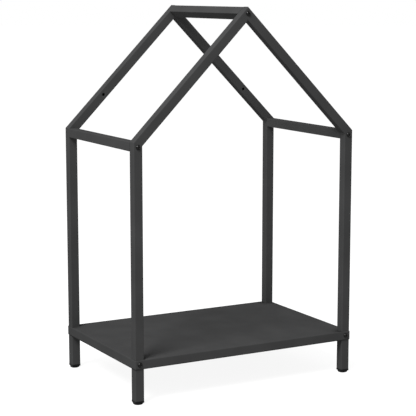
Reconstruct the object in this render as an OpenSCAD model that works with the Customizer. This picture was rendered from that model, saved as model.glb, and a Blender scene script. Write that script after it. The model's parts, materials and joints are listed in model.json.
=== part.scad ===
// Firewood log rack in the outline of a small house.
// Two welded gable frames of square tube, three bolted rails between them,
// a folded sheet-metal shelf and four plug feet.
// Origin: middle of the footprint on the floor. X is the width, the front faces -Y, Z is up.

/* [Rack] */
// Width over the posts
rack_w = 540; // [420:5:700]
// Depth over the posts
rack_d = 353; // [260:1:450]
// Height from the floor to the ridge
rack_h = 828; // [760:1:1000]
// Height of the outer corner where a post meets its rafter
eave_h = 555; // [420:1:650]

/* [Square tube] */
// Side of the square tube
tube_w = 20; // [18:0.5:25]
// Wall of the square tube
tube_t = 1.2; // [1:0.1:1.5]
// Outer corner radius of the square tube
tube_r = 1.2; // [1:0.1:2]

/* [Shelf] */
// Height of the shelf's top face above the floor
shelf_top = 97; // [70:1:160]
// Height of the skirt folded down around the shelf
skirt_h = 20; // [18:0.5:30]
// Thickness of the shelf's sheet metal
sheet_t = 0.8; // [0.6:0.1:1.2]
// Outer radius of the shelf's folds and corners
fold_r = 1.6; // [1.4:0.1:2.5]
// Clearance between the shelf and the posts
shelf_gap = 0.4; // [0.2:0.1:0.8]

/* [Wall fixing] */
// Distance of each wall-fixing hole from the middle of the rack
wall_hole_x = 183.5; // [60:0.5:184]
// Diameter of the wall-fixing holes
wall_hole_d = 7; // [5:0.5:8]

/* [Screws] */
// Diameter of the screw shanks
screw_d = 6; // [5:0.5:6]
// Diameter of the button heads
head_d = 10.5; // [9.5:0.5:12]
// Height of the button heads
head_h = 3.3; // [2.8:0.1:3.6]
// Length of the screws that hold the rails
rail_screw_l = 30; // [28:1:45]
// Length of the screws that hold the shelf
shelf_screw_l = 14; // [10:1:16]
// Clearance hole for a screw
screw_hole_d = 6.6; // [6.4:0.1:7]

/* [Feet] */
// Height of a foot below its post
foot_h = 8; // [6:0.5:12]
// How far the foot's collar stands out past the post on each side
foot_lip = 0.3; // [0:0.1:0.6]
// Diameter of the flat that meets the floor
foot_flat_d = 18; // [14:0.5:20]
// Depth of the plug inside the post
foot_plug_h = 14; // [8:1:20]

/* [Hidden] */
$fn = 64;

// Sides of the rack, as factors on X and Y
LEFT = -1;
RIGHT = 1;
FRONT = -1;
REAR = 1;

// Roof slope, and where the mitres fall
slope = atan((rack_h - eave_h) / (rack_w / 2));
tube_rise = tube_w / cos(slope);
mitre_drop = tube_rise - tube_w * tan(slope);
mitre_fall = mitre_drop / tube_w;
rafter_l = rack_w / 2 / cos(slope);
inner_apex_z = rack_h - tube_rise;
inner_eave_z = eave_h - mitre_drop;

// Centre lines of the tubes
post_x = (rack_w - tube_w) / 2;
frame_y = (rack_d - tube_w) / 2;
eave_z = eave_h - tube_w / 2;
ridge_z = rack_h - tube_w * sqrt(2) / 2;
rail_l = rack_d - 2 * tube_w;
wall_hole_z = rack_h - wall_hole_x * tan(slope) - tube_rise / 2;

// Shelf, measured over its skirts
shelf_w = rack_w + 2 * (shelf_gap + sheet_t);
shelf_d = rack_d + 2 * (shelf_gap + sheet_t);
shelf_screw_z = shelf_top - skirt_h / 2;

// Small hardware
bore_w = tube_w - 2 * tube_t;
plug_gap = 0.1;
nut_plate_t = 6;
thread_d = screw_d + 0.1;
socket_w = 4;
socket_depth = 2;
head_rim_h = 0.6;
head_flat_d = head_d / 2;
insert_d = 9;
insert_hole_d = insert_d + 0.1;
insert_l = 11;
insert_flange_d = 12;
insert_bulge_d = 11.5;
insert_bulge_l = 3;
weld_leg = 2.5;
weld_l = tube_w - 2 * tube_r - 1;
foot_collar_h = 4;
foot_dome_d = 23.2;
foot_wall = 2;
cut = 60;

// ---------- Profiles ----------

// A square of side w with its corners rounded to radius r, centred on the origin
module round_square(w, r) {
    square([w - 2 * r, w], center = true);
    square([w, w - 2 * r], center = true);
    for (x = [-1, 1], y = [-1, 1]) {
        translate([x * (w / 2 - r), y * (w / 2 - r)]) circle(r = r);
    }
}

// Cross-section of the square tube
module tube_section() {
    difference() {
        round_square(tube_w, tube_r);
        square(bore_w, center = true);
    }
}

// A square tube of length l that stands on the origin
module tube(l) {
    linear_extrude(height = l) tube_section();
}

// Turns what stands along +Z so that it runs along +Y or -Y
module along_y(way) {
    rotate([-90 * way, 0, 0]) children();
}

// Carries an outline drawn in X and Z through the whole depth of the rack
module through_depth(l) {
    rotate([90, 0, 0]) linear_extrude(height = l, center = true) children();
}

// Puts its children on the left or the right half; they are drawn for the left
module on_side(side) {
    if (side == RIGHT) {
        mirror([1, 0, 0]) children();
    } else {
        children();
    }
}

// A round hole along Y at x, z through everything between the planes y0 and y1
module hole_along_y(x, z, d, y0, y1) {
    translate([x, y0, z]) along_y(1) cylinder(d = d, h = y1 - y0);
}

// ---------- Gable frames ----------

// All that lies below the mitre between the left post and its rafter
module below_eave_mitre() {
    far = cut;
    through_depth(tube_w + 2) polygon([
        [-rack_w / 2 - far, eave_h + far * mitre_fall],
        [-rack_w / 2 - far, -far],
        [0, -far],
        [0, eave_h - rack_w / 2 * mitre_fall]
    ]);
}

// All that lies above that mitre and left of the ridge
module above_eave_mitre() {
    far = cut;
    through_depth(tube_w + 2) polygon([
        [-rack_w / 2 - far, eave_h + far * mitre_fall],
        [0, eave_h - rack_w / 2 * mitre_fall],
        [0, rack_h + far],
        [-rack_w / 2 - far, rack_h + far]
    ]);
}

// Upright of a gable frame, mitred at its top, with its screw holes
module post(side, end) {
    difference() {
        on_side(side) translate([0, end * frame_y, 0]) intersection() {
            translate([-post_x, 0, foot_h]) tube(eave_h - foot_h);
            below_eave_mitre();
        }
        hole_along_y(side * post_x, eave_z, screw_hole_d,
                     end * frame_y - tube_w, end * frame_y + tube_w);
        translate([side * post_x, end * frame_y, shelf_screw_z])
            along_y(end) cylinder(d = insert_hole_d, h = tube_w);
    }
}

// Sloping member of a gable frame, mitred at the eave and at the ridge
module rafter(side, end) {
    difference() {
        on_side(side) translate([0, end * frame_y, 0]) intersection() {
            translate([-rack_w / 2, 0, eave_h])
                rotate([0, 90 - slope, 0])
                translate([tube_w / 2, 0, -tube_w])
                tube(rafter_l + 2 * tube_w);
            above_eave_mitre();
        }
        hole_along_y(0, ridge_z, screw_hole_d,
                     end * frame_y - tube_w, end * frame_y + tube_w);
        if (end == REAR) {
            hole_along_y(side * wall_hole_x, wall_hole_z, wall_hole_d,
                         frame_y - tube_w, frame_y + tube_w);
        }
    }
}

// Weld beads left in the inner corners of a frame: both eaves and the ridge
module frame_welds(end) {
    run = weld_leg * cos(slope);
    rise = weld_leg * sin(slope);
    translate([0, end * frame_y, 0]) {
        for (side = [LEFT, RIGHT]) {
            on_side(side) translate([tube_w - rack_w / 2, 0, inner_eave_z])
                through_depth(weld_l) polygon([[0, 0], [0, -weld_leg], [run, rise]]);
        }
        translate([0, 0, inner_apex_z])
            through_depth(weld_l) polygon([[0, 0], [-run, -rise], [run, -rise]]);
    }
}

// ---------- Rails between the frames ----------

// Level rail along the eave
module eave_rail(side) {
    translate([side * post_x, -rail_l / 2, eave_z]) along_y(1) tube(rail_l);
}

// Rail along the ridge, standing on one edge
module ridge_rail_tube() {
    translate([0, -rail_l / 2, ridge_z]) rotate([0, 45, 0]) along_y(1) tube(rail_l);
}

// Threaded plate welded inside one end of a rail, its outer face flush with the tube
module nut_plate() {
    translate([0, 0, -nut_plate_t]) difference() {
        linear_extrude(height = nut_plate_t) square(bore_w - 2 * plug_gap, center = true);
        translate([0, 0, -1]) cylinder(d = thread_d, h = nut_plate_t + 2);
    }
}

// The three plates at one end of the rails
module rail_nut_plates(end) {
    for (side = [LEFT, RIGHT]) {
        translate([side * post_x, end * rail_l / 2, eave_z]) along_y(end) nut_plate();
    }
    translate([0, end * rail_l / 2, ridge_z]) rotate([0, 45, 0]) along_y(end) nut_plate();
}

// ---------- Screws and inserts ----------

// Button-head screw with a hexagon socket; the head's underside is at z = 0
module button_screw(l) {
    // The crown is the part of a sphere between the head's rim and its flat top
    crown_z = (pow(head_h, 2) - pow(head_rim_h, 2) + (pow(head_flat_d, 2) - pow(head_d, 2)) / 4)
        / (2 * (head_h - head_rim_h));
    crown_r = norm([head_d / 2, head_rim_h - crown_z]);
    difference() {
        intersection() {
            cylinder(d = head_d, h = head_h);
            translate([0, 0, crown_z]) sphere(r = crown_r);
        }
        translate([0, 0, head_h - socket_depth])
            cylinder(d = socket_w / cos(30), h = head_h, $fn = 6);
    }
    translate([0, 0, -l]) cylinder(d = screw_d, h = l + 0.5);
}

// Screws through a frame into the eave rails
module eave_screws(end) {
    for (side = [LEFT, RIGHT]) {
        translate([side * post_x, end * rack_d / 2, eave_z])
            along_y(end) button_screw(rail_screw_l);
    }
}

// Screw through the ridge of a frame into the ridge rail
module ridge_screw(end) {
    translate([0, end * rack_d / 2, ridge_z]) along_y(end) button_screw(rail_screw_l);
}

// Screws through the shelf's skirt into the posts
module shelf_screws(end) {
    for (side = [LEFT, RIGHT]) {
        translate([side * post_x, end * shelf_d / 2, shelf_screw_z])
            along_y(end) button_screw(shelf_screw_l);
    }
}

// Threaded insert clamped in the wall of a post; the wall's outer face is at z = 0
module threaded_insert() {
    difference() {
        union() {
            cylinder(d = insert_flange_d, h = shelf_gap);
            translate([0, 0, -insert_l]) cylinder(d = insert_d, h = insert_l);
            translate([0, 0, -tube_t - insert_bulge_l])
                cylinder(d = insert_bulge_d, h = insert_bulge_l);
        }
        translate([0, 0, -insert_l - 1]) cylinder(d = thread_d, h = insert_l + shelf_gap + 2);
    }
}

// The two inserts that hold one long side of the shelf
module shelf_inserts(end) {
    for (side = [LEFT, RIGHT]) {
        translate([side * post_x, end * rack_d / 2, shelf_screw_z])
            along_y(end) threaded_insert();
    }
}

// ---------- Shelf ----------

// A block w by d that fills the skirt's height, its four folds and corners rounded to r
module shelf_block(w, d, top, r) {
    h = skirt_h + cut;
    bottom = top - h;
    intersection() {
        // Plan with rounded corners
        translate([0, 0, bottom]) linear_extrude(height = h) {
            square([w - 2 * r, d], center = true);
            square([w, d - 2 * r], center = true);
            for (x = [-1, 1], y = [-1, 1]) {
                translate([x * (w / 2 - r), y * (d / 2 - r)]) circle(r = r);
            }
        }
        // Front view with rounded folds
        through_depth(d + 2) fold_outline(w, bottom, top, r);
        // Side view with rounded folds
        rotate([0, 0, 90]) through_depth(w + 2) fold_outline(d, bottom, top, r);
    }
}

// Outline w wide from the height bottom to top, its two upper corners rounded to r
module fold_outline(w, bottom, top, r) {
    translate([-w / 2, bottom]) square([w, top - bottom - r]);
    translate([-w / 2 + r, bottom]) square([w - 2 * r, top - bottom]);
    for (x = [-1, 1]) {
        translate([x * (w / 2 - r), top - r]) circle(r = r);
    }
}

// Folded shelf: a flat panel with a skirt all round and a notch for each post
module tray() {
    notch = tube_w + 2 * shelf_gap;
    difference() {
        shelf_block(shelf_w, shelf_d, shelf_top, fold_r);
        shelf_block(shelf_w - 2 * sheet_t, shelf_d - 2 * sheet_t,
                    shelf_top - sheet_t, fold_r - sheet_t);
        // Everything below the skirt's lower edge
        translate([-shelf_w, -shelf_d, shelf_top - skirt_h - 2 * cut])
            cube([2 * shelf_w, 2 * shelf_d, 2 * cut]);
        for (side = [LEFT, RIGHT], end = [FRONT, REAR]) {
            // The post's way through the panel; the folds pass outside it
            translate([side * post_x, end * frame_y, shelf_top])
                cube([notch, notch, skirt_h], center = true);
            hole_along_y(side * post_x, shelf_screw_z, screw_hole_d,
                         end * shelf_d / 2 - 3, end * shelf_d / 2 + 3);
        }
    }
}

// ---------- Feet ----------

// Plug foot for one post: a hollow plug, a square collar, and under it a dome with a flat sole
module foot(side, end) {
    collar_w = tube_w + 2 * foot_lip;
    plug_w = bore_w - 2 * plug_gap;
    translate([side * post_x, end * frame_y, 0]) {
        intersection() {
            linear_extrude(height = foot_h) round_square(collar_w, tube_r);
            foot_dome(foot_dome_d / 2);
        }
        translate([0, 0, foot_h - foot_collar_h]) linear_extrude(height = foot_collar_h)
            round_square(collar_w, tube_r);
        translate([0, 0, foot_h]) linear_extrude(height = foot_plug_h) difference() {
            square(plug_w, center = true);
            square(plug_w - 2 * foot_wall, center = true);
        }
    }
}

// Turned body that widens from the flat sole along an arc to the radius reach, and then goes straight up
module foot_dome(reach) {
    dome_h = foot_h - foot_collar_h;
    run = reach - foot_flat_d / 2;
    dome_r = (pow(run, 2) + pow(dome_h, 2)) / (2 * run);
    rotate_extrude() {
        square([reach - dome_r, foot_h]);
        translate([0, dome_h]) square([reach, foot_collar_h]);
        intersection() {
            square([reach, dome_h]);
            translate([reach - dome_r, dome_h]) circle(r = dome_r);
        }
    }
}

// ---------- Nodes ----------

frame_col = "#3d3e40";
screw_col = "#1d1d1f";
steel_col = "#9a9c9e";
foot_col = "#151516";

module front_left_post() { color(frame_col) post(LEFT, FRONT); }
module front_right_post() { color(frame_col) post(RIGHT, FRONT); }
module rear_left_post() { color(frame_col) post(LEFT, REAR); }
module rear_right_post() { color(frame_col) post(RIGHT, REAR); }
module front_left_rafter() { color(frame_col) rafter(LEFT, FRONT); }
module front_right_rafter() { color(frame_col) rafter(RIGHT, FRONT); }
module rear_left_rafter() { color(frame_col) rafter(LEFT, REAR); }
module rear_right_rafter() { color(frame_col) rafter(RIGHT, REAR); }
module left_eave_rail() { color(frame_col) eave_rail(LEFT); }
module right_eave_rail() { color(frame_col) eave_rail(RIGHT); }
module ridge_rail() { color(frame_col) ridge_rail_tube(); }
module front_frame_welds() { color(frame_col) frame_welds(FRONT); }
module rear_frame_welds() { color(frame_col) frame_welds(REAR); }
module shelf_tray() { color(frame_col) tray(); }
module front_rail_nut_plates() { color(steel_col) rail_nut_plates(FRONT); }
module rear_rail_nut_plates() { color(steel_col) rail_nut_plates(REAR); }
module front_shelf_inserts() { color(steel_col) shelf_inserts(FRONT); }
module rear_shelf_inserts() { color(steel_col) shelf_inserts(REAR); }
module front_eave_screws() { color(screw_col) eave_screws(FRONT); }
module rear_eave_screws() { color(screw_col) eave_screws(REAR); }
module front_ridge_screw() { color(screw_col) ridge_screw(FRONT); }
module rear_ridge_screw() { color(screw_col) ridge_screw(REAR); }
module front_shelf_screws() { color(screw_col) shelf_screws(FRONT); }
module rear_shelf_screws() { color(screw_col) shelf_screws(REAR); }
module front_left_foot() { color(foot_col) foot(LEFT, FRONT); }
module front_right_foot() { color(foot_col) foot(RIGHT, FRONT); }
module rear_left_foot() { color(foot_col) foot(LEFT, REAR); }
module rear_right_foot() { color(foot_col) foot(RIGHT, REAR); }

front_left_post();
front_right_post();
rear_left_post();
rear_right_post();
front_left_rafter();
front_right_rafter();
rear_left_rafter();
rear_right_rafter();
left_eave_rail();
right_eave_rail();
ridge_rail();
front_frame_welds();
rear_frame_welds();
shelf_tray();
front_rail_nut_plates();
rear_rail_nut_plates();
front_shelf_inserts();
rear_shelf_inserts();
front_eave_screws();
rear_eave_screws();
front_ridge_screw();
rear_ridge_screw();
front_shelf_screws();
rear_shelf_screws();
front_left_foot();
front_right_foot();
rear_left_foot();
rear_right_foot();
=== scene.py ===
"""Firewood log rack: the finished surfaces and materials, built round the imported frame.

Every new piece is a surface worked out on a grid of two parameters. A tube is a section carried between
two planes, a screw and a foot are turned outlines whose radius also depends on the angle, and the shelf is
a folded sheet. All sizes are in metres and in the rack's own frame: X to the right, Y to the rear, Z up.
"""

import json
import math
from typing import NamedTuple

import bmesh
import bpy
import numpy as np
from bpy.props import FloatProperty, FloatVectorProperty, PointerProperty
from bpy.types import Operator, Panel, PropertyGroup
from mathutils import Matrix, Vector


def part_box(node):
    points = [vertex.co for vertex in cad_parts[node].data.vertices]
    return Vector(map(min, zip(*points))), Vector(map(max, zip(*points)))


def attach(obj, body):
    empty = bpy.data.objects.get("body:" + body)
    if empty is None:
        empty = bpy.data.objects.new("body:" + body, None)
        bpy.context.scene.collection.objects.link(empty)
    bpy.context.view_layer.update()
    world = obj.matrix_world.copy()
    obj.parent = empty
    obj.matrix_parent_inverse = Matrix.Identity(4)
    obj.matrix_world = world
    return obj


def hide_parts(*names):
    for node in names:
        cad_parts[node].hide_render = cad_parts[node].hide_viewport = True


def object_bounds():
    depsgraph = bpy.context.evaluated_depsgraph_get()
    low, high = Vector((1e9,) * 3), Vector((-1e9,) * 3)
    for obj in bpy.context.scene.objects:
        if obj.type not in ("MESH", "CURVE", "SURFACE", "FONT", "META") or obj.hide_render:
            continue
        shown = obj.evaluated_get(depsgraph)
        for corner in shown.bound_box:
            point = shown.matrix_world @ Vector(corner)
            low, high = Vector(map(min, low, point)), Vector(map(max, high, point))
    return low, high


bl_info = {
    "name": "Firewood log rack",
    "version": (1, 0, 0),
    "blender": (4, 5, 0),
    "location": "3D View > Sidebar > Log rack",
    "description": "Builds the powder-coated surfaces, screws, feet and studio of a firewood log rack",
    "category": "Object",
}

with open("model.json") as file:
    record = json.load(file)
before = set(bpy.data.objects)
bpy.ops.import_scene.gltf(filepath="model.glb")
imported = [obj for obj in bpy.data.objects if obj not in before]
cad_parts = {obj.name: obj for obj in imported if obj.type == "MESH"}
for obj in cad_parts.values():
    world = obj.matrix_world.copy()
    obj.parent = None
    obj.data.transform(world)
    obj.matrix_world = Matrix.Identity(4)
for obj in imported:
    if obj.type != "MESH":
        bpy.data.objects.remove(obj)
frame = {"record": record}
CAD_LOW, CAD_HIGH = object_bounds()
BODY = "root"

LEFT, RIGHT = -1, 1
FRONT, REAR = -1, 1
ENDS = {"front": FRONT, "rear": REAR}
SIDES = {"left": LEFT, "right": RIGHT}

X, Y, Z = np.eye(3)
MM = 0.001

# How far each rail is turned about its own length
RAILS = {"left_eave_rail": 0.0, "right_eave_rail": 0.0, "ridge_rail": math.pi / 4}

# Cells across a flat wall, steps round a quarter circle, and directions round a turned piece
CELLS = 8
CORNER_STEPS = 5
AROUND = np.linspace(0, 2 * math.pi, 48, endpoint=False)

# Points closer than this become one, and edges that turn by more than this stay crisp
MERGE = 2e-6
CRISP = math.radians(32)

# Outward normals of a tube's four walls in its own two side directions, and the way each wall runs
WALLS = np.array([[1, 0], [0, 1], [-1, 0], [0, -1]], float)
TURNS = np.roll(WALLS, -1, axis=0)
REAR_WALL, FRONT_WALL = 1, 3

# Length of the window round the ridge screw's half hole, over half the flat of the tube's wall
RIDGE_WINDOW = 2.2

# Depth of a thread on a screw and in a nut over its pitch, the room between them, and steps in a turn
SCREW_THREAD = 0.61
NUT_THREAD = 0.5
THREAD_ROOM = 0.0002
STEPS_PER_TURN = 8

# Room between the tube's bore and what is plugged into it
PLUG_ROOM = 0.0001

# Exponents of the feet's rounded squares, and of the smooth minimum that blends a square and a circle
COLLAR_POWER = 20.0
PLUG_POWER = 12.0
BLEND = 24.0

# Radius of a circle so wide that it leaves a square as it is
WIDE = 1.0


def mount(name):
    """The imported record's mount of that name."""
    return next(m for m in frame["record"]["mounts"] if m["name"] == name)


def box(node):
    """Lowest and highest corner of a node as two arrays."""
    low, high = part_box(node)
    return np.array(low), np.array(high)


def middle(node):
    """Middle of a node's box."""
    low, high = box(node)
    return (low + high) / 2


# ---------- What a user would change ----------


def length(name, description, default):
    """A length property in metres."""
    return FloatProperty(
        name=name, description=description, default=default, min=0.0, precision=5, unit="LENGTH"
    )


def angle(name, description, degrees):
    """An angle property, stated here in degrees."""
    return FloatProperty(
        name=name, description=description, default=math.radians(degrees), subtype="ANGLE"
    )


def offset(name, description, default):
    """A property that holds a step in X, Y and Z in metres."""
    return FloatVectorProperty(
        name=name, description=description, default=default, size=3, subtype="TRANSLATION", unit="LENGTH"
    )


def colour(name, description, default):
    """A colour property."""
    return FloatVectorProperty(
        name=name, description=description, default=default, size=3, subtype="COLOR", min=0.0, max=1.0
    )


def share(name, description, default):
    """A property from nought to one."""
    return FloatProperty(
        name=name, description=description, default=default, min=0.0, max=1.0, subtype="FACTOR"
    )


class RackSizes(PropertyGroup):
    """Sizes of the metalwork that the frame's boxes don't say."""

    tube_wall: length("Tube wall", "Wall of the square tube", 0.0012)
    tube_corner: length("Tube corner", "Outer corner radius of the square tube", 0.0012)
    bore_corner: length("Bore corner", "Inner corner radius of the square tube", 0.0003)
    hole_edge: length("Hole edge", "Rounding of the coat round a drilled hole", 0.0003)
    screw_hole: length("Screw hole", "Diameter of the clearance holes for the screws", 0.0066)
    insert_hole: length("Insert hole", "Diameter of the holes for the threaded inserts", 0.0091)
    wall_hole: length(
        "Wall-fixing hole",
        "Diameter of the two holes that take the wall screws",
        2 * MM * mount("wall_fixing_holes")["dims"]["hole_r_mm"],
    )
    sheet: length("Shelf sheet", "Thickness of the shelf's sheet metal", 0.0008)
    fold: length("Shelf fold", "Outer radius of the shelf's folds and corners", 0.0016)
    notch: length("Shelf notch", "Clearance between a post and its notch in the shelf", 0.0004)
    weld_leg: length("Weld leg", "How far a weld bead reaches along each tube", 0.0026)
    head_height: length("Head height", "Height of the button heads", 0.0033)
    head_rim: length("Head rim", "Height of the straight rim of a button head", 0.0006)
    socket: length("Socket", "Width across the flats of the hexagon socket", 0.004)
    socket_depth: length("Socket depth", "Depth of the hexagon socket", 0.002)
    shank: length("Shank", "Outer diameter of the screw thread", 0.006)
    pitch: length("Pitch", "Rise of the screw thread in one turn", 0.001)
    sole: length("Sole", "Diameter of the flat of a foot that meets the floor", 0.018)
    collar: length("Collar", "Height of the square collar of a foot", 0.004)
    dome: length("Dome", "Diameter of a foot's dome where it meets the collar", 0.0232)


class RackFinish(PropertyGroup):
    """Colours and gloss of the rack's materials."""

    coat: colour("Powder coat", "Colour of the anthracite powder coat", (0.0255, 0.0256, 0.0258))
    coat_gloss: share("Coat roughness", "Roughness of the powder coat", 0.62)
    screw: colour("Screws", "Colour of the blackened screws", (0.001, 0.001, 0.001))
    zinc: colour("Zinc", "Colour of the zinc-plated plates and inserts", (0.52, 0.53, 0.54))
    foot: colour("Feet", "Colour of the plastic feet", (0.005, 0.005, 0.0052))
    floor: colour("Floor", "Colour of the studio floor", (0.12, 0.12, 0.12))


class RackStudio(PropertyGroup):
    """Camera, lights and floor."""

    azimuth: angle("Azimuth", "Way round the rack to the camera", -28.89)
    elevation: angle("Elevation", "Rise of the camera's line of sight", 8.98)
    distance: length("Distance", "From the camera to the point it looks at", 3.132)
    aim: offset(
        "Aim", "The point the camera looks at, from the middle of the rack", (-0.0025, -0.0055, -0.0375)
    )
    lens: FloatProperty(
        name="Lens", description="Focal length in millimetres", default=120.1, min=1.0, unit="CAMERA"
    )
    world_light: FloatProperty(
        name="Surroundings", description="Brightness of the white surroundings", default=1.0, min=0.0
    )
    key_power: FloatProperty(
        name="Key light", description="Power of the large soft light", default=570.0, min=0.0, unit="POWER"
    )
    key_size: length("Key light size", "Side of the large soft light", 2.0)
    key_place: offset(
        "Key light place", "Where that light stands, from the middle of the rack", (-3.0, -1.75, 3.6)
    )
    floor_glow: share("Floor glow", "Light that the floor gives off by itself", 0.9)
    floor_radius: length("Floor radius", "Radius of the round floor", 30.0)


# ---------- Meshes ----------


class Skin:
    """Grids of points gathered into one mesh. Points that coincide become one when the piece is made."""

    def __init__(self):
        self.points = []
        self.faces = []
        self.count = 0

    def add_grid(self, grid, around=False, along=False):
        """Quads between neighbours of grid[i, j]. With along the last row is joined to the first, and with
        around the last column is."""
        rows, columns = grid.shape[:2]
        index = self.count + np.arange(rows * columns).reshape(rows, columns)
        if along:
            index = np.vstack([index, index[:1]])
        if around:
            index = np.hstack([index, index[:, :1]])
        quads = np.stack([index[:-1, :-1], index[:-1, 1:], index[1:, 1:], index[1:, :-1]], axis=-1)
        self.points.append(grid.reshape(-1, 3))
        self.faces.extend(quads.reshape(-1, 4).tolist())
        self.count += rows * columns

    def add_face(self, loop):
        """One flat face round the points of loop."""
        self.points.append(loop)
        self.faces.append(list(range(self.count, self.count + len(loop))))
        self.count += len(loop)

    def make(self, name, material):
        """The grids as one object of that material: merged, closed and facing outwards."""
        mesh = bpy.data.meshes.new(name)
        mesh.from_pydata(np.concatenate(self.points).tolist(), [], self.faces)
        work = bmesh.new()
        work.from_mesh(mesh)
        bmesh.ops.remove_doubles(work, verts=work.verts, dist=MERGE)
        bmesh.ops.recalc_face_normals(work, faces=work.faces)
        work.to_mesh(mesh)
        work.free()
        mesh.materials.append(material)
        made = bpy.data.objects.new(name, mesh)
        bpy.context.scene.collection.objects.link(made)
        return made


def circle_facing(border, centre, u, v, radius):
    """The point of a circle in the plane of u and v that each border point looks at from the centre:
    centre + radius (cos a u + sin a v), where a is the border point's own angle."""
    away = border - centre
    turn = np.arctan2(away @ v, away @ u)[:, None]
    return centre + radius * (np.cos(turn) * u + np.sin(turn) * v)


def window_steps(first, whole):
    """Row and column of each grid point round a window of CELLS by CELLS cells that starts at row first.
    A whole window is walked all round; one at a tube's end leaves out the side on the end plane."""
    step = np.arange(CELLS)
    low = (np.full(CELLS, 0), step)
    right = (step, np.full(CELLS, CELLS))
    high = (np.full(CELLS, CELLS), CELLS - step)
    left = (CELLS - step, np.full(CELLS, 0))
    if whole:
        rows, columns = (np.concatenate(part) for part in zip(low, right, high, left))
    else:
        rows = np.concatenate([CELLS - step, np.full(CELLS, 0), step, [CELLS]])
        columns = np.concatenate([np.full(CELLS, CELLS), CELLS - step, np.full(CELLS + 1, 0)])
    return rows + first, columns


# ---------- Square tubes ----------


class Hole(NamedTuple):
    """A round hole through one wall of a tube, in a window of CELLS rows from row first on. Half a hole has
    its middle on the tube's end plane, in the last window."""

    wall: int
    first: int
    distance: float
    radius: float
    whole: bool = True


class Tube:
    """A square tube: its origin on the centre line, its axis, and its two side directions."""

    def __init__(self, origin, axis, across, up, width, sizes):
        self.origin = np.array(origin, float)
        self.axis = np.array(axis, float)
        self.sides = np.array([across, up], float)
        self.half = width / 2
        self.wall = sizes.tube_wall
        self.shells = ((self.half, sizes.tube_corner), (self.half - sizes.tube_wall, sizes.bore_corner))
        self.hole_edge = sizes.hole_edge

    def square_cut(self, distance):
        """The station of a square cut at that distance along the axis."""
        return np.array([distance, 0.0, 0.0])

    def plane_cut(self, point, normal):
        """The station where the tube meets a plane: its distance along the axis is an affine function of
        the two side offsets."""
        scale = self.axis @ normal
        return np.array([(point - self.origin) @ normal, *(-self.sides @ normal)]) / scale

    def carry(self, offsets, stations):
        """Every side offset (p, q) at every station (a, b, c): the origin, plus p and q along the two side
        directions, plus (a + b p + c q) along the axis."""
        along = stations[:, :1] + stations[:, 1:] @ offsets.T
        return self.origin + offsets @ self.sides + along[..., None] * self.axis

    def skin(self, stations, holes=()):
        """Outer and inner skins with the rims at both ends. Each hole's window is left out of both skins
        and filled by drill, which also closes the end of a halved wall."""
        skin = Skin()
        walls, corners = [], []
        turn = np.linspace(0, math.pi / 2, CORNER_STEPS + 1)[:, None]
        for half, radius in self.shells:
            flat = half - radius
            across = np.linspace(-flat, flat, CELLS + 1)[:, None]
            for k in range(4):
                walls.append(self.carry(WALLS[k] * half + across * TURNS[k], stations))
                arc = radius * (np.cos(turn) * WALLS[k] + np.sin(turn) * TURNS[k])
                corners.append(self.carry((WALLS[k] + TURNS[k]) * flat + arc, stations))
        last = len(stations) - 1
        halved = {hole.wall for hole in holes if not hole.whole}
        for k in range(4):
            drilled = sorted(hole.first for hole in holes if hole.wall == k)
            edges = [0, *(row for first in drilled for row in (first, first + CELLS)), last]
            for start, stop in zip(edges[::2], edges[1::2]):
                if stop > start:
                    skin.add_grid(walls[k][start : stop + 1])
                    skin.add_grid(walls[k + 4][start : stop + 1])
            for row in (0, last):
                if row == 0 or k not in halved:
                    skin.add_grid(np.stack([walls[k][row], walls[k + 4][row]]))
                skin.add_grid(np.stack([corners[k][row], corners[k + 4][row]]))
            skin.add_grid(corners[k])
            skin.add_grid(corners[k + 4])
        for hole in holes:
            self.drill(skin, walls[hole.wall], walls[hole.wall + 4], hole)
        return skin

    def drill(self, skin, outer, inner, hole):
        """A hole through one wall: from the window's border in to a rounded edge, down the hole and out to
        the inner border. The edge is a quarter circle turned round the hole."""
        rows, columns = window_steps(hole.first, hole.whole)
        rim, back = outer[rows, columns], inner[rows, columns]
        normal = WALLS[hole.wall] @ self.sides
        centre = self.origin + normal * self.half + self.axis * hole.distance
        turn = TURNS[hole.wall] @ self.sides
        edge = self.hole_edge
        rings = [rim]
        for lean in np.linspace(0, math.pi / 2, 4):
            ring = circle_facing(rim, centre, turn, self.axis, hole.radius + edge * (1 - math.sin(lean)))
            rings.append(ring - normal * edge * (1 - math.cos(lean)))
        rings.append(circle_facing(rim, centre, turn, self.axis, hole.radius) - normal * self.wall)
        rings.append(back)
        grid = np.stack(rings)
        skin.add_grid(grid, around=hole.whole)
        if not hole.whole:
            skin.add_face(grid[:, 0])
            skin.add_face(grid[:, -1])


def blend_stations(start, stop):
    """The stations of a window: even steps from one cut to another."""
    return start + np.linspace(0, 1, CELLS + 1)[:, None] * (stop - start)


class Gable:
    """Lines of the house outline, read from the frame: eave and ridge heights, slope and mitre plane."""

    def __init__(self, end):
        self.low, self.high = box(f"{end}_left_post")
        self.width = self.high[0] - self.low[0]
        self.middle_y = (self.low[1] + self.high[1]) / 2
        self.eave = box("left_eave_rail")[1][2]
        self.ridge = box(f"{end}_left_rafter")[1][2]
        self.span = -self.low[0]
        self.slope = math.atan2(self.ridge - self.eave, self.span)
        self.rise = self.width / math.cos(self.slope)
        self.inner_eave = self.eave + self.width * math.tan(self.slope) - self.rise
        self.inner_ridge = self.ridge - self.rise

    def corner(self, side):
        """Outer corner of the eave on that side."""
        return np.array([side * self.span, self.middle_y, self.eave])

    def rise_along(self, side):
        """The way up a rafter, from the eave on that side to the ridge."""
        return np.array([-side * math.cos(self.slope), 0, math.sin(self.slope)])

    def mitre_normal(self, side):
        """Unit normal of the plane through the outer and the inner corner of the eave."""
        normal = np.array([side * (self.inner_eave - self.eave), 0.0, self.width])
        return normal / np.linalg.norm(normal)


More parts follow.
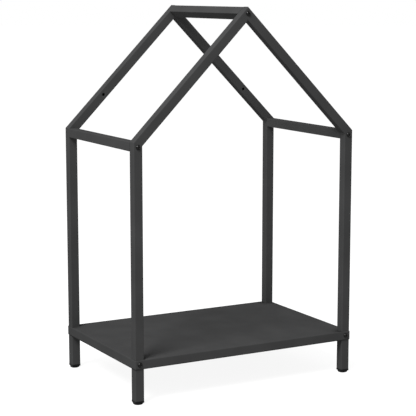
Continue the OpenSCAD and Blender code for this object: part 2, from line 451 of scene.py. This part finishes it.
def post_skin(gable, side, end, sizes):
    """A post: square-cut at the foot, mitred at the eave, and drilled for the shelf's insert and for the
    rail's screw."""
    half = gable.width / 2
    reach = half - sizes.tube_corner
    foot = np.array([side * (gable.span - half), gable.middle_y, gable.low[2]])
    tube = Tube(foot, Z, X, Y, gable.width, sizes)
    insert = middle(f"{end}_shelf_screws")[2] - foot[2]
    screw = middle(f"{end}_eave_screws")[2] - foot[2]
    mitre = tube.plane_cut(gable.corner(side), gable.mitre_normal(side))
    stations = np.vstack([
        tube.square_cut(0),
        blend_stations(tube.square_cut(insert - reach), tube.square_cut(insert + reach)),
        blend_stations(tube.square_cut(screw - reach), mitre),
    ])
    outer_wall = FRONT_WALL if end == "front" else REAR_WALL
    top_window = len(stations) - 1 - CELLS
    return tube.skin(stations, [
        Hole(outer_wall, 1, insert, sizes.insert_hole / 2),
        Hole(FRONT_WALL, top_window, screw, sizes.screw_hole / 2),
        Hole(REAR_WALL, top_window, screw, sizes.screw_hole / 2),
    ])


def rafter_skin(gable, side, end, sizes):
    """A rafter: mitred at the eave and at the ridge, with half of the ridge screw's hole in its upper end
    and, on the rear frame, a wall-fixing hole through both walls."""
    half = gable.width / 2
    reach = half - sizes.tube_corner
    along = gable.rise_along(side)
    inward = np.array([-side * math.sin(gable.slope), 0, -math.cos(gable.slope)])
    start = gable.corner(side) + half * inward
    tube = Tube(start, along, inward, Y, gable.width, sizes)
    eave = tube.plane_cut(gable.corner(side), gable.mitre_normal(side))
    ridge = tube.plane_cut(np.array([0.0, 0.0, gable.ridge]), X)
    screw = ridge[0]
    stations = [eave]
    holes = []
    if end == "rear":
        wall = mount("wall_fixing_holes")
        spread = side * wall["dims"]["spacing_x_mm"] / 2 * MM
        spot = np.array([spread, gable.middle_y, wall["pos_m"][2]])
        distance = (spot - start) @ along
        window = blend_stations(tube.square_cut(distance - reach), tube.square_cut(distance + reach))
        stations.append(window)
        holes += [Hole(k, 1, distance, sizes.wall_hole / 2) for k in (FRONT_WALL, REAR_WALL)]
    stations.append(blend_stations(tube.square_cut(screw - RIDGE_WINDOW * reach), ridge))
    stations = np.vstack(stations)
    top_window = len(stations) - 1 - CELLS
    holes += [Hole(k, top_window, screw, sizes.screw_hole / 2, False) for k in (FRONT_WALL, REAR_WALL)]
    return tube.skin(stations, holes)


def turned_sides(turn):
    """The two side directions of a rail that is turned about its own length."""
    return math.cos(turn) * X + math.sin(turn) * Z, math.cos(turn) * Z - math.sin(turn) * X


def rail_skin(node, width, sizes):
    """A rail: a tube cut square at both ends."""
    low, high = box(node)
    start = middle(node)
    start[1] = low[1]
    tube = Tube(start, Y, *turned_sides(RAILS[node]), width, sizes)
    return tube.skin(np.vstack([tube.square_cut(0), tube.square_cut(high[1] - low[1])]))


# ---------- Weld beads ----------


def add_bead(skin, corner, toe_a, toe_b, run, ripples=9, crown=0.1):
    """A bead laid in an inner corner and run along Y. Its section is the corner and an arc between the two
    toes; the arc bulges a little more at each ripple, and the whole section shrinks to a point at both ends
    as the root of 1 - w^6, where w goes from -1 to 1."""
    w = np.linspace(-1, 1, 8 * ripples + 1)[:, None, None]
    size = np.sqrt(np.clip(1 - w**6, 0, 1))
    s = np.linspace(0, 1, 9)[None, :, None]
    outward = (toe_a + toe_b) / np.linalg.norm(toe_a + toe_b)
    leg = np.linalg.norm(toe_a)
    wave = 1 + 0.6 * np.cos(math.pi * ripples * w) * np.sin(math.pi * s)
    arc = (1 - s) * toe_a + s * toe_b + outward * leg * crown * np.sin(math.pi * s) * wave
    section = np.concatenate([arc, np.zeros_like(arc[:, :1])], axis=1)
    skin.add_grid(corner + size * section + w * run / 2 * Y, around=True)


# ---------- Folded shelf ----------


def shelf_skin(sizes):
    """The shelf's outer face. The skirt is one closed band whose plan is a rectangle with round corners. A
    fold is a quarter circle carried along that plan: it runs up to the flat panel between the posts, and
    leaves out its first two steps where it passes outside a post."""
    low, high = box("shelf_tray")
    post_high = box("front_left_post")[1]
    a, b = high[0], high[1]
    top, bottom, r = high[2], low[2], sizes.fold
    notch_x = -post_high[0] - sizes.notch
    notch_y = -post_high[1] - sizes.notch
    skin = Skin()
    inner_x = np.linspace(-notch_x, notch_x, 3 * CELLS + 1)
    inner_y = np.linspace(-notch_y, notch_y, 2 * CELLS + 1)

    def add_flat(xs, ys):
        x, y = np.meshgrid(xs, ys)
        skin.add_grid(np.stack([x, y, np.full_like(x, top)], axis=-1))

    add_flat(inner_x, inner_y)
    turn = np.linspace(0, math.pi / 2, CORNER_STEPS + 1)[:, None]
    for way in (-1, 1):
        add_flat(inner_x, [way * notch_y, way * (b - r)])
        add_flat([way * notch_x, way * (a - r)], inner_y)
        along_x = np.stack([inner_x, np.full_like(inner_x, way * (b - r))])
        along_y = np.stack([np.full_like(inner_y, way * (a - r)), inner_y])
        add_fold(skin, along_x, np.array([[0], [way]]), top, r, turn)
        add_fold(skin, along_y, np.array([[way], [0]]), top, r, turn)

    heights = np.linspace(bottom, top - r, CELLS + 1)
    window_x = np.linspace(notch_x, a - r, CELLS + 1)
    screw_x = middle("front_left_post")[0]
    screw_z = middle("front_shelf_screws")[2]
    for way in (-1, 1):
        add_band(skin, np.stack([inner_x, np.full_like(inner_x, way * b)]), heights)
        side_y = np.concatenate([[-b + r], inner_y, [b - r]])
        add_band(skin, np.stack([np.full_like(side_y, way * a), side_y]), heights)
        for side in (LEFT, RIGHT):
            corner = np.array([[side * (a - r)], [way * (b - r)]])
            out = np.array([side * np.sin(turn[:, 0]), way * np.cos(turn[:, 0])])
            add_band(skin, corner + r * out, heights)
            inset = np.hstack([
                np.stack([side * window_x[:-1], np.full(CELLS, way * (b - r))]),
                np.repeat(corner, len(turn), axis=1),
                [[side * (a - r)], [way * notch_y]],
            ])
            ahead = np.hstack([np.repeat(out[:, :1], CELLS, axis=1), out, out[:, -1:]])
            add_fold(skin, inset, ahead, top, r, turn[2:])
            x, z = np.meshgrid(side * window_x, heights)
            panel = np.stack([x, np.full_like(x, way * b), z], axis=-1)
            rim = panel[window_steps(0, True)]
            centre = np.array([-side * screw_x, way * b, screw_z])
            hole = circle_facing(rim, centre, X, Z, sizes.screw_hole / 2)
            skin.add_grid(np.stack([rim, (rim + hole) / 2, hole]), around=True)
    return skin


def add_fold(skin, inset, ahead, top, r, turn):
    """A fold along a line in plan: each point of inset moves r sin t ahead and r (cos t - 1) up."""
    x = inset[0] + r * np.sin(turn) * ahead[0]
    y = inset[1] + r * np.sin(turn) * ahead[1]
    z = np.broadcast_to(top + r * (np.cos(turn) - 1), x.shape)
    skin.add_grid(np.stack([x, y, z], axis=-1))


def add_band(skin, plan, heights):
    """A line in plan carried straight up through the heights."""
    x = np.broadcast_to(plan[0], (len(heights), plan.shape[1]))
    y = np.broadcast_to(plan[1], x.shape)
    z = np.broadcast_to(heights[:, None], x.shape)
    skin.add_grid(np.stack([x, y, z], axis=-1))


# ---------- Turned hardware ----------


def turned(skin, origin, axis, rows, along=False):
    """A turned surface. Each row is a radius and a height along the axis; the radius may be one number or
    one for each direction of AROUND, which starts at X and runs right-handed about the axis."""
    radii = np.array([np.broadcast_to(radius, AROUND.shape) for radius, _ in rows])
    heights = np.array([height for _, height in rows])
    away = np.cos(AROUND)[:, None] * X + np.sin(AROUND)[:, None] * np.cross(axis, X)
    points = origin + radii[..., None] * away + heights[:, None, None] * axis
    skin.add_grid(points, around=True, along=along)


def thread_depth(angles, heights, pitch):
    """How deep a right-handed thread is cut, from 0 on its crest to 1 in its root: a triangle wave of the
    height above the screw's seat over the pitch, less the angle in turns."""
    phase = heights[:, None] / pitch - angles[None] / (2 * math.pi)
    return np.abs(2 * (phase % 1.0) - 1)


def nut_thread(angles, heights, sizes):
    """Radii of a threaded bore that keeps step with its screw."""
    root = sizes.shank / 2 + THREAD_ROOM
    return root - NUT_THREAD * sizes.pitch * thread_depth(angles, heights, sizes.pitch)


def hexagon(angles, flat):
    """Radius of a hexagon that measures flat across its flats, at each angle."""
    third = math.pi / 3
    return flat / 2 / np.cos((angles + third / 2) % third - third / 2)


def add_button_screw(skin, seat, axis, head_radius, shank_length, sizes):
    """Button-head screw whose head sits on seat and points along axis. Its outline runs up the threaded
    shank, round the head's rim, over a crown that is part of a sphere, and down the hexagon socket."""
    height, rim = sizes.head_height, sizes.head_rim
    floor = height - sizes.socket_depth
    shank = sizes.shank / 2
    tip = shank - 0.0007
    lead_in, runout, bevel, cone = 0.0006, 0.0007, 0.0002, 0.0006
    climb = np.arange(-shank_length + lead_in, -sizes.pitch, sizes.pitch / STEPS_PER_TURN)
    cut = SCREW_THREAD * sizes.pitch * thread_depth(AROUND, climb, sizes.pitch)
    flat = head_radius / 2
    crown_z = (height**2 - rim**2 + flat**2 - head_radius**2) / (2 * (height - rim))
    crown_r = math.hypot(flat, height - crown_z)
    crown = np.linspace(math.asin(head_radius / crown_r), math.asin(flat / crown_r), 10)
    socket = hexagon(AROUND, sizes.socket)
    turned(skin, seat, axis, [
        (0.0, -shank_length),
        (tip, -shank_length),
        *zip(shank - cut, climb),
        (shank, -runout),
        (shank, 0.0),
        (head_radius - bevel, 0.0),
        (head_radius, bevel),
        (head_radius, rim),
        *((crown_r * math.sin(c), crown_z + crown_r * math.cos(c)) for c in crown[1:]),
        (0.5 * (flat + socket.max()), height),
        (socket + bevel, height),
        (socket, height - bevel),
        (socket, floor),
        (0.55 * socket, floor - bevel),
        (0.0, floor - cone),
    ])


def screws_skin(node, way, sizes):
    """All the screws of a node. Their heads touch the left and the right side of its box, and a single
    head touches both."""
    low, high = box(node)
    head = (high[2] - low[2]) / 2
    outer = high[1] if way == REAR else low[1]
    axis = way * Y
    reach = high[1] - low[1] - sizes.head_height
    skin = Skin()
    for x in sorted({round(low[0] + head, 6), round(high[0] - head, 6)}):
        seat = np.array([x, outer, middle(node)[2]]) - axis * sizes.head_height
        add_button_screw(skin, seat, axis, head, reach, sizes)
    return skin


def add_nut_plate(skin, centre, sides, axis, half, thick, seat, sizes):
    """Square plate with a threaded hole: its outline's points each look at a point of the hole, and the
    rings run over one face, down the thread, over the other face and back round the edge. The thread keeps
    step with its screw, whose seat lies that far in front of the plate."""
    rows, columns = window_steps(0, True)
    grid = np.linspace(-half, half, CELLS + 1)
    border = grid[columns][:, None] * sides[0] + grid[rows][:, None] * sides[1]
    v = np.cross(axis, X)
    angles = np.arctan2(border @ v, border @ X)
    away = np.cos(angles)[:, None] * X + np.sin(angles)[:, None] * v
    climb = np.linspace(-thick, 0, STEPS_PER_TURN * round(thick / sizes.pitch) + 1)
    bore = nut_thread(angles, climb - seat, sizes)[..., None] * away + climb[:, None, None] * axis
    bevel, inset = 0.0005, 0.9 * border
    near, far = border - bevel * axis, border - (thick - bevel) * axis
    rings = [near, inset, *bore[::-1], inset - thick * axis, far]
    skin.add_grid(centre + np.stack(rings), around=True, along=True)


def plates_skin(node, way, sizes):
    """The three threaded plates at one end of the rails."""
    low, high = box(node)
    face = high[1] if way == REAR else low[1]
    rail_low, rail_high = box("left_eave_rail")
    width = rail_high[0] - rail_low[0]
    half = width / 2 - sizes.tube_wall - PLUG_ROOM
    skin = Skin()
    for rail, turn in RAILS.items():
        centre = middle(rail)
        centre[1] = face
        add_nut_plate(skin, centre, turned_sides(turn), way * Y, half, high[1] - low[1], width, sizes)
    return skin


def inserts_skin(node, way, sizes):
    """The threaded inserts of one long side: flange outside the post's wall, clamped collar inside it and a
    sleeve whose bore carries the thread. The collar's outline is half a sine wave. The screw's seat is the
    shelf sheet's outer face."""
    low, high = box(node)
    flange = (high[2] - low[2]) / 2
    face = high[1] if way == REAR else low[1]
    total = high[1] - low[1]
    room = 0.00005
    sleeve = sizes.insert_hole / 2 - room
    collar_top = sizes.notch + sizes.tube_wall
    collar_height, collar_reach = 0.003, 0.00125
    break_edge, bevel = 0.0001, 0.0004
    climb = np.linspace(-total, 0, STEPS_PER_TURN * int(total / sizes.pitch) + 1)
    thread = nut_thread(AROUND, climb - sizes.sheet, sizes)
    rows = [
        *zip(thread, climb),
        (flange - break_edge, 0.0),
        (flange, -break_edge),
        (flange, -sizes.notch),
        (sleeve, -sizes.notch),
        *(
            (sleeve + collar_reach * math.sin(t), -collar_top - collar_height * t / math.pi)
            for t in np.linspace(0, math.pi, 9)
        ),
        (sleeve, -total + bevel),
        (sleeve - bevel, -total),
    ]
    skin = Skin()
    for x in (low[0] + flange, high[0] - flange):
        turned(skin, np.array([x, face, middle(node)[2]]), way * Y, rows, along=True)
    return skin


# ---------- Feet ----------


class Level(NamedTuple):
    """One level of a foot: a rounded square of half width half, blended with a circle of radius dome, and
    shrunk towards the middle."""

    half: float
    height: float
    power: float = PLUG_POWER
    dome: float = WIDE
    shrink: float = 1.0


def foot_skin(node, post, sizes):
    """A plug foot, lofted from the floor up. Below, each level is the smooth minimum of the collar's
    rounded square and of a dome, whose radius follows an arc that leaves the flat sole and ends upright
    under the collar. The collar's corners stand out past the dome. Above it a hollow ribbed plug goes into
    the post. A rounded square's radius is half / (|cos|^power + |sin|^power)^(1/power)."""
    low, high = box(node)
    post_low, post_high = box(post)
    seat, top = post_low[2], high[2]
    collar, sole, reach = (high[0] - low[0]) / 2, sizes.sole / 2, sizes.dome / 2
    rib_out, rib_rise, rib_height = 0.0005, 0.0003, 0.0014
    plug = (post_high[0] - post_low[0]) / 2 - sizes.tube_wall - PLUG_ROOM - rib_out
    dome_h = seat - sizes.collar
    run = reach - sole
    dome_r = (run**2 + dome_h**2) / (2 * run)
    levels = [Level(collar, 0.0, COLLAR_POWER, sole, shrink=0.0)]
    for z in dome_h * np.linspace(0, 1, 16) ** 1.5:
        dome = reach - dome_r + math.sqrt(dome_r**2 - (dome_h - z) ** 2)
        levels.append(Level(collar, z, COLLAR_POWER, dome))
    lower_edge, upper_edge = 0.0002, 0.0003
    levels += [
        Level(collar - lower_edge, dome_h, COLLAR_POWER),
        Level(collar, dome_h + lower_edge, COLLAR_POWER),
        Level(collar, seat - upper_edge, COLLAR_POWER),
        Level(collar - upper_edge, seat, COLLAR_POWER),
        Level(plug, seat),
    ]
    lowest_rib, highest_rib = seat + 0.002, top - 0.003
    for z in np.linspace(lowest_rib, highest_rib, 4):
        levels += [Level(plug, z), Level(plug + rib_out, z + rib_rise), Level(plug, z + rib_height)]
    bevel, inner_bevel, fillet, wall = 0.0006, 0.0004, 0.0005, 0.0019
    levels += [
        Level(plug, top - bevel),
        Level(plug - bevel, top),
        Level(plug - wall + inner_bevel, top),
        Level(plug - wall, top - inner_bevel),
        Level(plug - wall, seat + fillet),
        Level(plug - wall - fillet, seat),
        Level(plug, seat, shrink=0.0),
    ]
    half, height, power, dome, shrink = (np.array(part)[:, None] for part in zip(*levels))
    angles = np.linspace(0, 2 * math.pi, 96, endpoint=False)[None]
    square = half * (np.abs(np.cos(angles)) ** power + np.abs(np.sin(angles)) ** power) ** (-1 / power)
    radii = shrink * (square**-BLEND + dome**-BLEND) ** (-1 / BLEND)
    centre = middle(node)
    x = centre[0] + radii * np.cos(angles)
    y = centre[1] + radii * np.sin(angles)
    skin = Skin()
    skin.add_grid(np.stack([x, y, low[2] + np.broadcast_to(height, x.shape)], axis=-1), around=True)
    return skin


# ---------- Materials ----------


class Finish:
    """A node material on object coordinates, with one principled shader and helpers for its patterns."""

    def __init__(self, name, metallic=0.0, specular=0.5):
        self.material = bpy.data.materials.new(name)
        self.material.use_nodes = True
        tree = self.material.node_tree
        self.nodes, self.links = tree.nodes, tree.links
        self.nodes.clear()
        output = self.nodes.new("ShaderNodeOutputMaterial")
        self.shader = self.nodes.new("ShaderNodeBsdfPrincipled")
        self.links.new(self.shader.outputs["BSDF"], output.inputs["Surface"])
        self.shader.inputs["Metallic"].default_value = metallic
        self.shader.inputs["Specular IOR Level"].default_value = specular
        self.place = self.nodes.new("ShaderNodeTexCoord").outputs["Object"]

    def noise(self, size, detail=2.0, roughness=0.5):
        """Noise whose patches are about size metres wide."""
        node = self.nodes.new("ShaderNodeTexNoise")
        node.inputs["Scale"].default_value = 1 / size
        node.inputs["Detail"].default_value = detail
        node.inputs["Roughness"].default_value = roughness
        self.links.new(self.place, node.inputs["Vector"])
        return node.outputs["Fac"]

    def spread(self, value, low, high, start=0.3, stop=0.7):
        """Maps start to stop of a pattern onto low to high."""
        node = self.nodes.new("ShaderNodeMapRange")
        node.inputs["From Min"].default_value = start
        node.inputs["From Max"].default_value = stop
        node.inputs["To Min"].default_value = low
        node.inputs["To Max"].default_value = high
        self.links.new(value, node.inputs["Value"])
        return node.outputs["Result"]

    def colours(self, value, stops):
        """A colour ramp on a pattern; stops are (place, colour)."""
        node = self.nodes.new("ShaderNodeValToRGB")
        ramp = node.color_ramp
        while len(ramp.elements) < len(stops):
            ramp.elements.new(0.5)
        for element, (place, shade) in zip(ramp.elements, stops):
            element.position = place
            element.color = (*shade, 1.0)
        self.links.new(value, node.inputs["Fac"])
        self.links.new(node.outputs["Color"], self.shader.inputs["Base Color"])

    def bump(self, value, depth, under=None):
        """Raises the surface by depth where the pattern is high; under is a bump that it lies on."""
        node = self.nodes.new("ShaderNodeBump")
        node.inputs["Distance"].default_value = depth
        node.inputs["Strength"].default_value = 1.0
        self.links.new(value, node.inputs["Height"])
        if under is not None:
            self.links.new(under, node.inputs["Normal"])
        return node.outputs["Normal"]

    def use(self, socket, value):
        """Drives one of the shader's inputs."""
        self.links.new(value, self.shader.inputs[socket])


def shade(tone, factor):
    """A colour made darker or lighter by a factor."""
    return tuple(min(1.0, factor * part) for part in tone)


def powder_coat(finish):
    """Matt anthracite powder coat: a fine grain over a soft orange peel, slightly uneven in tone."""
    coat = Finish("finished_powder_coat", specular=0.0)
    grain = coat.noise(0.0007, detail=3.0, roughness=0.6)
    peel = coat.noise(0.0032, detail=1.0)
    cloud = coat.noise(0.07, detail=2.0)
    coat.colours(cloud, [(0.3, shade(finish.coat, 0.93)), (0.7, shade(finish.coat, 1.08))])
    coat.use("Roughness", coat.spread(grain, finish.coat_gloss - 0.05, finish.coat_gloss + 0.07))
    coat.use("Normal", coat.bump(grain, 0.00003, coat.bump(peel, 0.00004)))
    return coat.material


def black_screw(finish):
    """Blackened steel: dark and half glossy, with faint smears in its gloss."""
    steel = Finish("finished_black_screw", specular=0.15)
    smear = steel.noise(0.004, detail=3.0)
    grain = steel.noise(0.0003, detail=2.0)
    steel.colours(smear, [(0.3, shade(finish.screw, 0.8)), (0.7, shade(finish.screw, 1.3))])
    steel.use("Roughness", steel.spread(smear, 0.24, 0.34))
    steel.use("Normal", steel.bump(grain, 0.000008))
    return steel.material


def zinc_steel(finish):
    """Bright zinc plate: small cloudy spangles in tone and gloss."""
    zinc = Finish("finished_zinc_steel", metallic=1.0)
    spangle = zinc.noise(0.0025, detail=4.0, roughness=0.65)
    grain = zinc.noise(0.0004, detail=2.0)
    zinc.colours(spangle, [(0.3, shade(finish.zinc, 0.8)), (0.7, shade(finish.zinc, 1.15))])
    zinc.use("Roughness", zinc.spread(spangle, 0.28, 0.42))
    zinc.use("Normal", zinc.bump(grain, 0.00001))
    return zinc.material


def foot_plastic(finish):
    """Moulded black plastic with a fine spark-eroded grain."""
    plastic = Finish("finished_foot_plastic", specular=0.03)
    grain = plastic.noise(0.0005, detail=2.0)
    cloud = plastic.noise(0.01, detail=2.0)
    plastic.colours(cloud, [(0.3, shade(finish.foot, 0.8)), (0.7, shade(finish.foot, 1.25))])
    plastic.use("Roughness", plastic.spread(grain, 0.45, 0.6))
    plastic.use("Normal", plastic.bump(grain, 0.00002))
    return plastic.material


def studio_floor(finish, glow):
    """Pale floor that gives off part of its light itself, so that shadows on it stay faint."""
    floor = Finish("studio_floor", specular=0.0)
    cloud = floor.noise(0.8, detail=1.0)
    floor.colours(cloud, [(0.3, shade(finish.floor, 0.995)), (0.7, finish.floor)])
    floor.shader.inputs["Roughness"].default_value = 1.0
    floor.shader.inputs["Emission Color"].default_value = (1.0, 1.0, 1.0, 1.0)
    floor.shader.inputs["Emission Strength"].default_value = glow
    return floor.material


MAKERS = {
    "powder_coat": powder_coat,
    "black_screw": black_screw,
    "zinc_steel": zinc_steel,
    "foot_plastic": foot_plastic,
}


def finish_of(context, slot):
    """The finished material of a slot, made the first time it is asked for."""
    found = bpy.data.materials.get(f"finished_{slot}")
    return found or MAKERS[slot](context.scene.rack_finish)


# ---------- Operators ----------


class RackOperator(Operator):
    """Shared parts of the rack's operators."""

    bl_options = {"REGISTER", "UNDO"}

    def put(self, context, skin, name, slot, node):
        """Makes a skin a finished piece that rides on the rack and stands for a node."""
        if not skin.faces:
            raise RuntimeError(f"{name} came out empty")
        piece = skin.make(name, finish_of(context, slot))
        piece.data.shade_smooth()
        piece.data.set_sharp_from_angle(angle=CRISP)
        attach(piece, BODY)
        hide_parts(node)
        return piece


class RACK_OT_posts(RackOperator):
    """Four uprights, mitred at the eaves and drilled for their screws and inserts"""

    bl_idname = "rack.posts"
    bl_label = "Posts"

    def execute(self, context):
        sizes = context.scene.rack_sizes
        for end in ENDS:
            gable = Gable(end)
            for name, side in SIDES.items():
                skin = post_skin(gable, side, end, sizes)
                self.put(context, skin, f"{end}_{name}_post_tube", "powder_coat", f"{end}_{name}_post")
        return {"FINISHED"}


class RACK_OT_rafters(RackOperator):
    """Four rafters, mitred at the eaves and at the ridge; the rear pair has the wall-fixing holes"""

    bl_idname = "rack.rafters"
    bl_label = "Rafters"

    def execute(self, context):
        sizes = context.scene.rack_sizes
        for end in ENDS:
            gable = Gable(end)
            for name, side in SIDES.items():
                skin = rafter_skin(gable, side, end, sizes)
                self.put(context, skin, f"{end}_{name}_rafter_tube", "powder_coat", f"{end}_{name}_rafter")
        return {"FINISHED"}


class RACK_OT_rails(RackOperator):
    """Both eave rails and the ridge rail, which stands on one edge"""

    bl_idname = "rack.rails"
    bl_label = "Rails"

    def execute(self, context):
        sizes = context.scene.rack_sizes
        width = Gable("front").width
        for node in RAILS:
            self.put(context, rail_skin(node, width, sizes), f"{node}_tube", "powder_coat", node)
        return {"FINISHED"}


class RACK_OT_welds(RackOperator):
    """Weld beads in the inner corners of both gable frames"""

    bl_idname = "rack.welds"
    bl_label = "Weld beads"

    def execute(self, context):
        leg = context.scene.rack_sizes.weld_leg
        for end in ENDS:
            gable = Gable(end)
            low, high = box(f"{end}_frame_welds")
            run = high[1] - low[1]
            skin = Skin()
            for side in SIDES.values():
                corner = np.array([side * (gable.span - gable.width), gable.middle_y, gable.inner_eave])
                add_bead(skin, corner, -leg * Z, leg * gable.rise_along(side), run)
            corner = np.array([0, gable.middle_y, gable.inner_ridge])
            add_bead(skin, corner, -leg * gable.rise_along(LEFT), -leg * gable.rise_along(RIGHT), run)
            self.put(context, skin, f"{end}_frame_beads", "powder_coat", f"{end}_frame_welds")
        return {"FINISHED"}


class RACK_OT_shelf(RackOperator):
    """Folded shelf with its skirts, notches and screw holes"""

    bl_idname = "rack.shelf"
    bl_label = "Shelf"

    def execute(self, context):
        sizes = context.scene.rack_sizes
        shelf = self.put(context, shelf_skin(sizes), "shelf_sheet", "powder_coat", "shelf_tray")
        thick = shelf.modifiers.new("sheet thickness", "SOLIDIFY")
        thick.thickness = sizes.sheet
        thick.offset = -1.0
        thick.use_even_offset = True
        return {"FINISHED"}


class RACK_OT_screws(RackOperator):
    """Button-head screws of the rails and the shelf"""

    bl_idname = "rack.screws"
    bl_label = "Screws"

    def execute(self, context):
        sizes = context.scene.rack_sizes
        for end, way in ENDS.items():
            for node in (f"{end}_eave_screws", f"{end}_ridge_screw", f"{end}_shelf_screws"):
                self.put(context, screws_skin(node, way, sizes), f"{node}_turned", "black_screw", node)
        return {"FINISHED"}


class RACK_OT_threads(RackOperator):
    """Threaded plates inside the rail ends and threaded inserts in the posts"""

    bl_idname = "rack.threads"
    bl_label = "Plates and inserts"

    def execute(self, context):
        sizes = context.scene.rack_sizes
        for end, way in ENDS.items():
            node = f"{end}_rail_nut_plates"
            self.put(context, plates_skin(node, way, sizes), f"{node}_threaded", "zinc_steel", node)
            node = f"{end}_shelf_inserts"
            self.put(context, inserts_skin(node, way, sizes), f"{node}_threaded", "zinc_steel", node)
        return {"FINISHED"}


class RACK_OT_feet(RackOperator):
    """Four plug feet under the posts"""

    bl_idname = "rack.feet"
    bl_label = "Feet"

    def execute(self, context):
        sizes = context.scene.rack_sizes
        for end in ENDS:
            for side in SIDES:
                node = f"{end}_{side}_foot"
                skin = foot_skin(node, f"{end}_{side}_post", sizes)
                self.put(context, skin, f"{node}_plug", "foot_plastic", node)
        return {"FINISHED"}


class RACK_OT_stage(Operator):
    """Pale floor, white surroundings, a large soft light and the camera"""

    bl_idname = "rack.stage"
    bl_label = "Studio"
    bl_options = {"REGISTER", "UNDO"}

    def execute(self, context):
        studio = context.scene.rack_studio
        context.scene.view_settings.view_transform = "Standard"
        self.floor(context, studio)
        self.surroundings(context, studio)
        target = (CAD_LOW + CAD_HIGH) / 2
        self.key_light(context, studio, target)
        self.camera(context, studio, target)
        return {"FINISHED"}

    def floor(self, context, studio):
        """A round floor: rings whose radius grows as the cube of their number, finest in the middle."""
        angles = np.linspace(0, 2 * math.pi, 64, endpoint=False)
        radii = studio.floor_radius * np.linspace(0, 1, 9) ** 3
        ring = np.stack([np.cos(angles), np.sin(angles), 0 * angles], axis=-1)
        skin = Skin()
        skin.add_grid(radii[:, None, None] * ring, around=True)
        floor = skin.make("studio_floor", studio_floor(context.scene.rack_finish, studio.floor_glow))

    def surroundings(self, context, studio):
        """Even white light from all round."""
        world = bpy.data.worlds.new("surroundings")
        world.use_nodes = True
        sky = world.node_tree.nodes["Background"]
        sky.inputs["Color"].default_value = (1.0, 1.0, 1.0, 1.0)
        sky.inputs["Strength"].default_value = studio.world_light
        context.scene.world = world

    def key_light(self, context, studio, target):
        """A large square light that faces the middle of the rack."""
        lamp = bpy.data.lights.new("key", "AREA")
        lamp.shape = "SQUARE"
        lamp.size = studio.key_size
        lamp.energy = studio.key_power
        light = bpy.data.objects.new("key", lamp)
        light.location = target + studio.key_place
        light.rotation_euler = studio.key_place.to_track_quat("Z", "Y").to_euler()
        context.scene.collection.objects.link(light)

    def camera(self, context, studio, target):
        """A camera that looks at the rack from its left front and a little above."""
        lens = bpy.data.cameras.new("camera")
        lens.lens = studio.lens
        lens.clip_end = 200.0
        camera = bpy.data.objects.new("camera", lens)
        back = Vector((
            math.sin(studio.azimuth) * math.cos(studio.elevation),
            -math.cos(studio.azimuth) * math.cos(studio.elevation),
            math.sin(studio.elevation),
        ))
        camera.location = target + studio.aim + back * studio.distance
        camera.rotation_euler = back.to_track_quat("Z", "Y").to_euler()
        context.scene.collection.objects.link(camera)
        context.scene.camera = camera


class RACK_PT_panel(Panel):
    """Lists the rack's sizes, finishes and operators"""

    bl_idname = "RACK_PT_panel"
    bl_label = "Firewood log rack"
    bl_space_type = "VIEW_3D"
    bl_region_type = "UI"
    bl_category = "Log rack"

    def draw(self, context):
        layout = self.layout
        for operator in OPERATORS:
            layout.operator(operator.bl_idname)
        for group in (context.scene.rack_sizes, context.scene.rack_finish, context.scene.rack_studio):
            column = layout.column(align=True)
            for name in group.bl_rna.properties.keys():
                if name not in {"rna_type", "name"}:
                    column.prop(group, name)


OPERATORS = (
    RACK_OT_stage,
    RACK_OT_posts,
    RACK_OT_rafters,
    RACK_OT_rails,
    RACK_OT_welds,
    RACK_OT_shelf,
    RACK_OT_screws,
    RACK_OT_threads,
    RACK_OT_feet,
)
CLASSES = (RackSizes, RackFinish, RackStudio, *OPERATORS, RACK_PT_panel)


def register():
    """Registers the classes and hangs the property groups on the scene."""
    for made in CLASSES:
        bpy.utils.register_class(made)
    bpy.types.Scene.rack_sizes = PointerProperty(type=RackSizes)
    bpy.types.Scene.rack_finish = PointerProperty(type=RackFinish)
    bpy.types.Scene.rack_studio = PointerProperty(type=RackStudio)


def unregister():
    """Takes back what register did."""
    for name in ("rack_sizes", "rack_finish", "rack_studio"):
        delattr(bpy.types.Scene, name)
    for made in reversed(CLASSES):
        bpy.utils.unregister_class(made)


def main():
    register()
    bpy.ops.rack.stage()
    bpy.ops.rack.posts()
    bpy.ops.rack.rafters()
    bpy.ops.rack.rails()
    bpy.ops.rack.welds()
    bpy.ops.rack.shelf()
    bpy.ops.rack.screws()
    bpy.ops.rack.threads()
    bpy.ops.rack.feet()


if __name__ == "__main__":
    main()
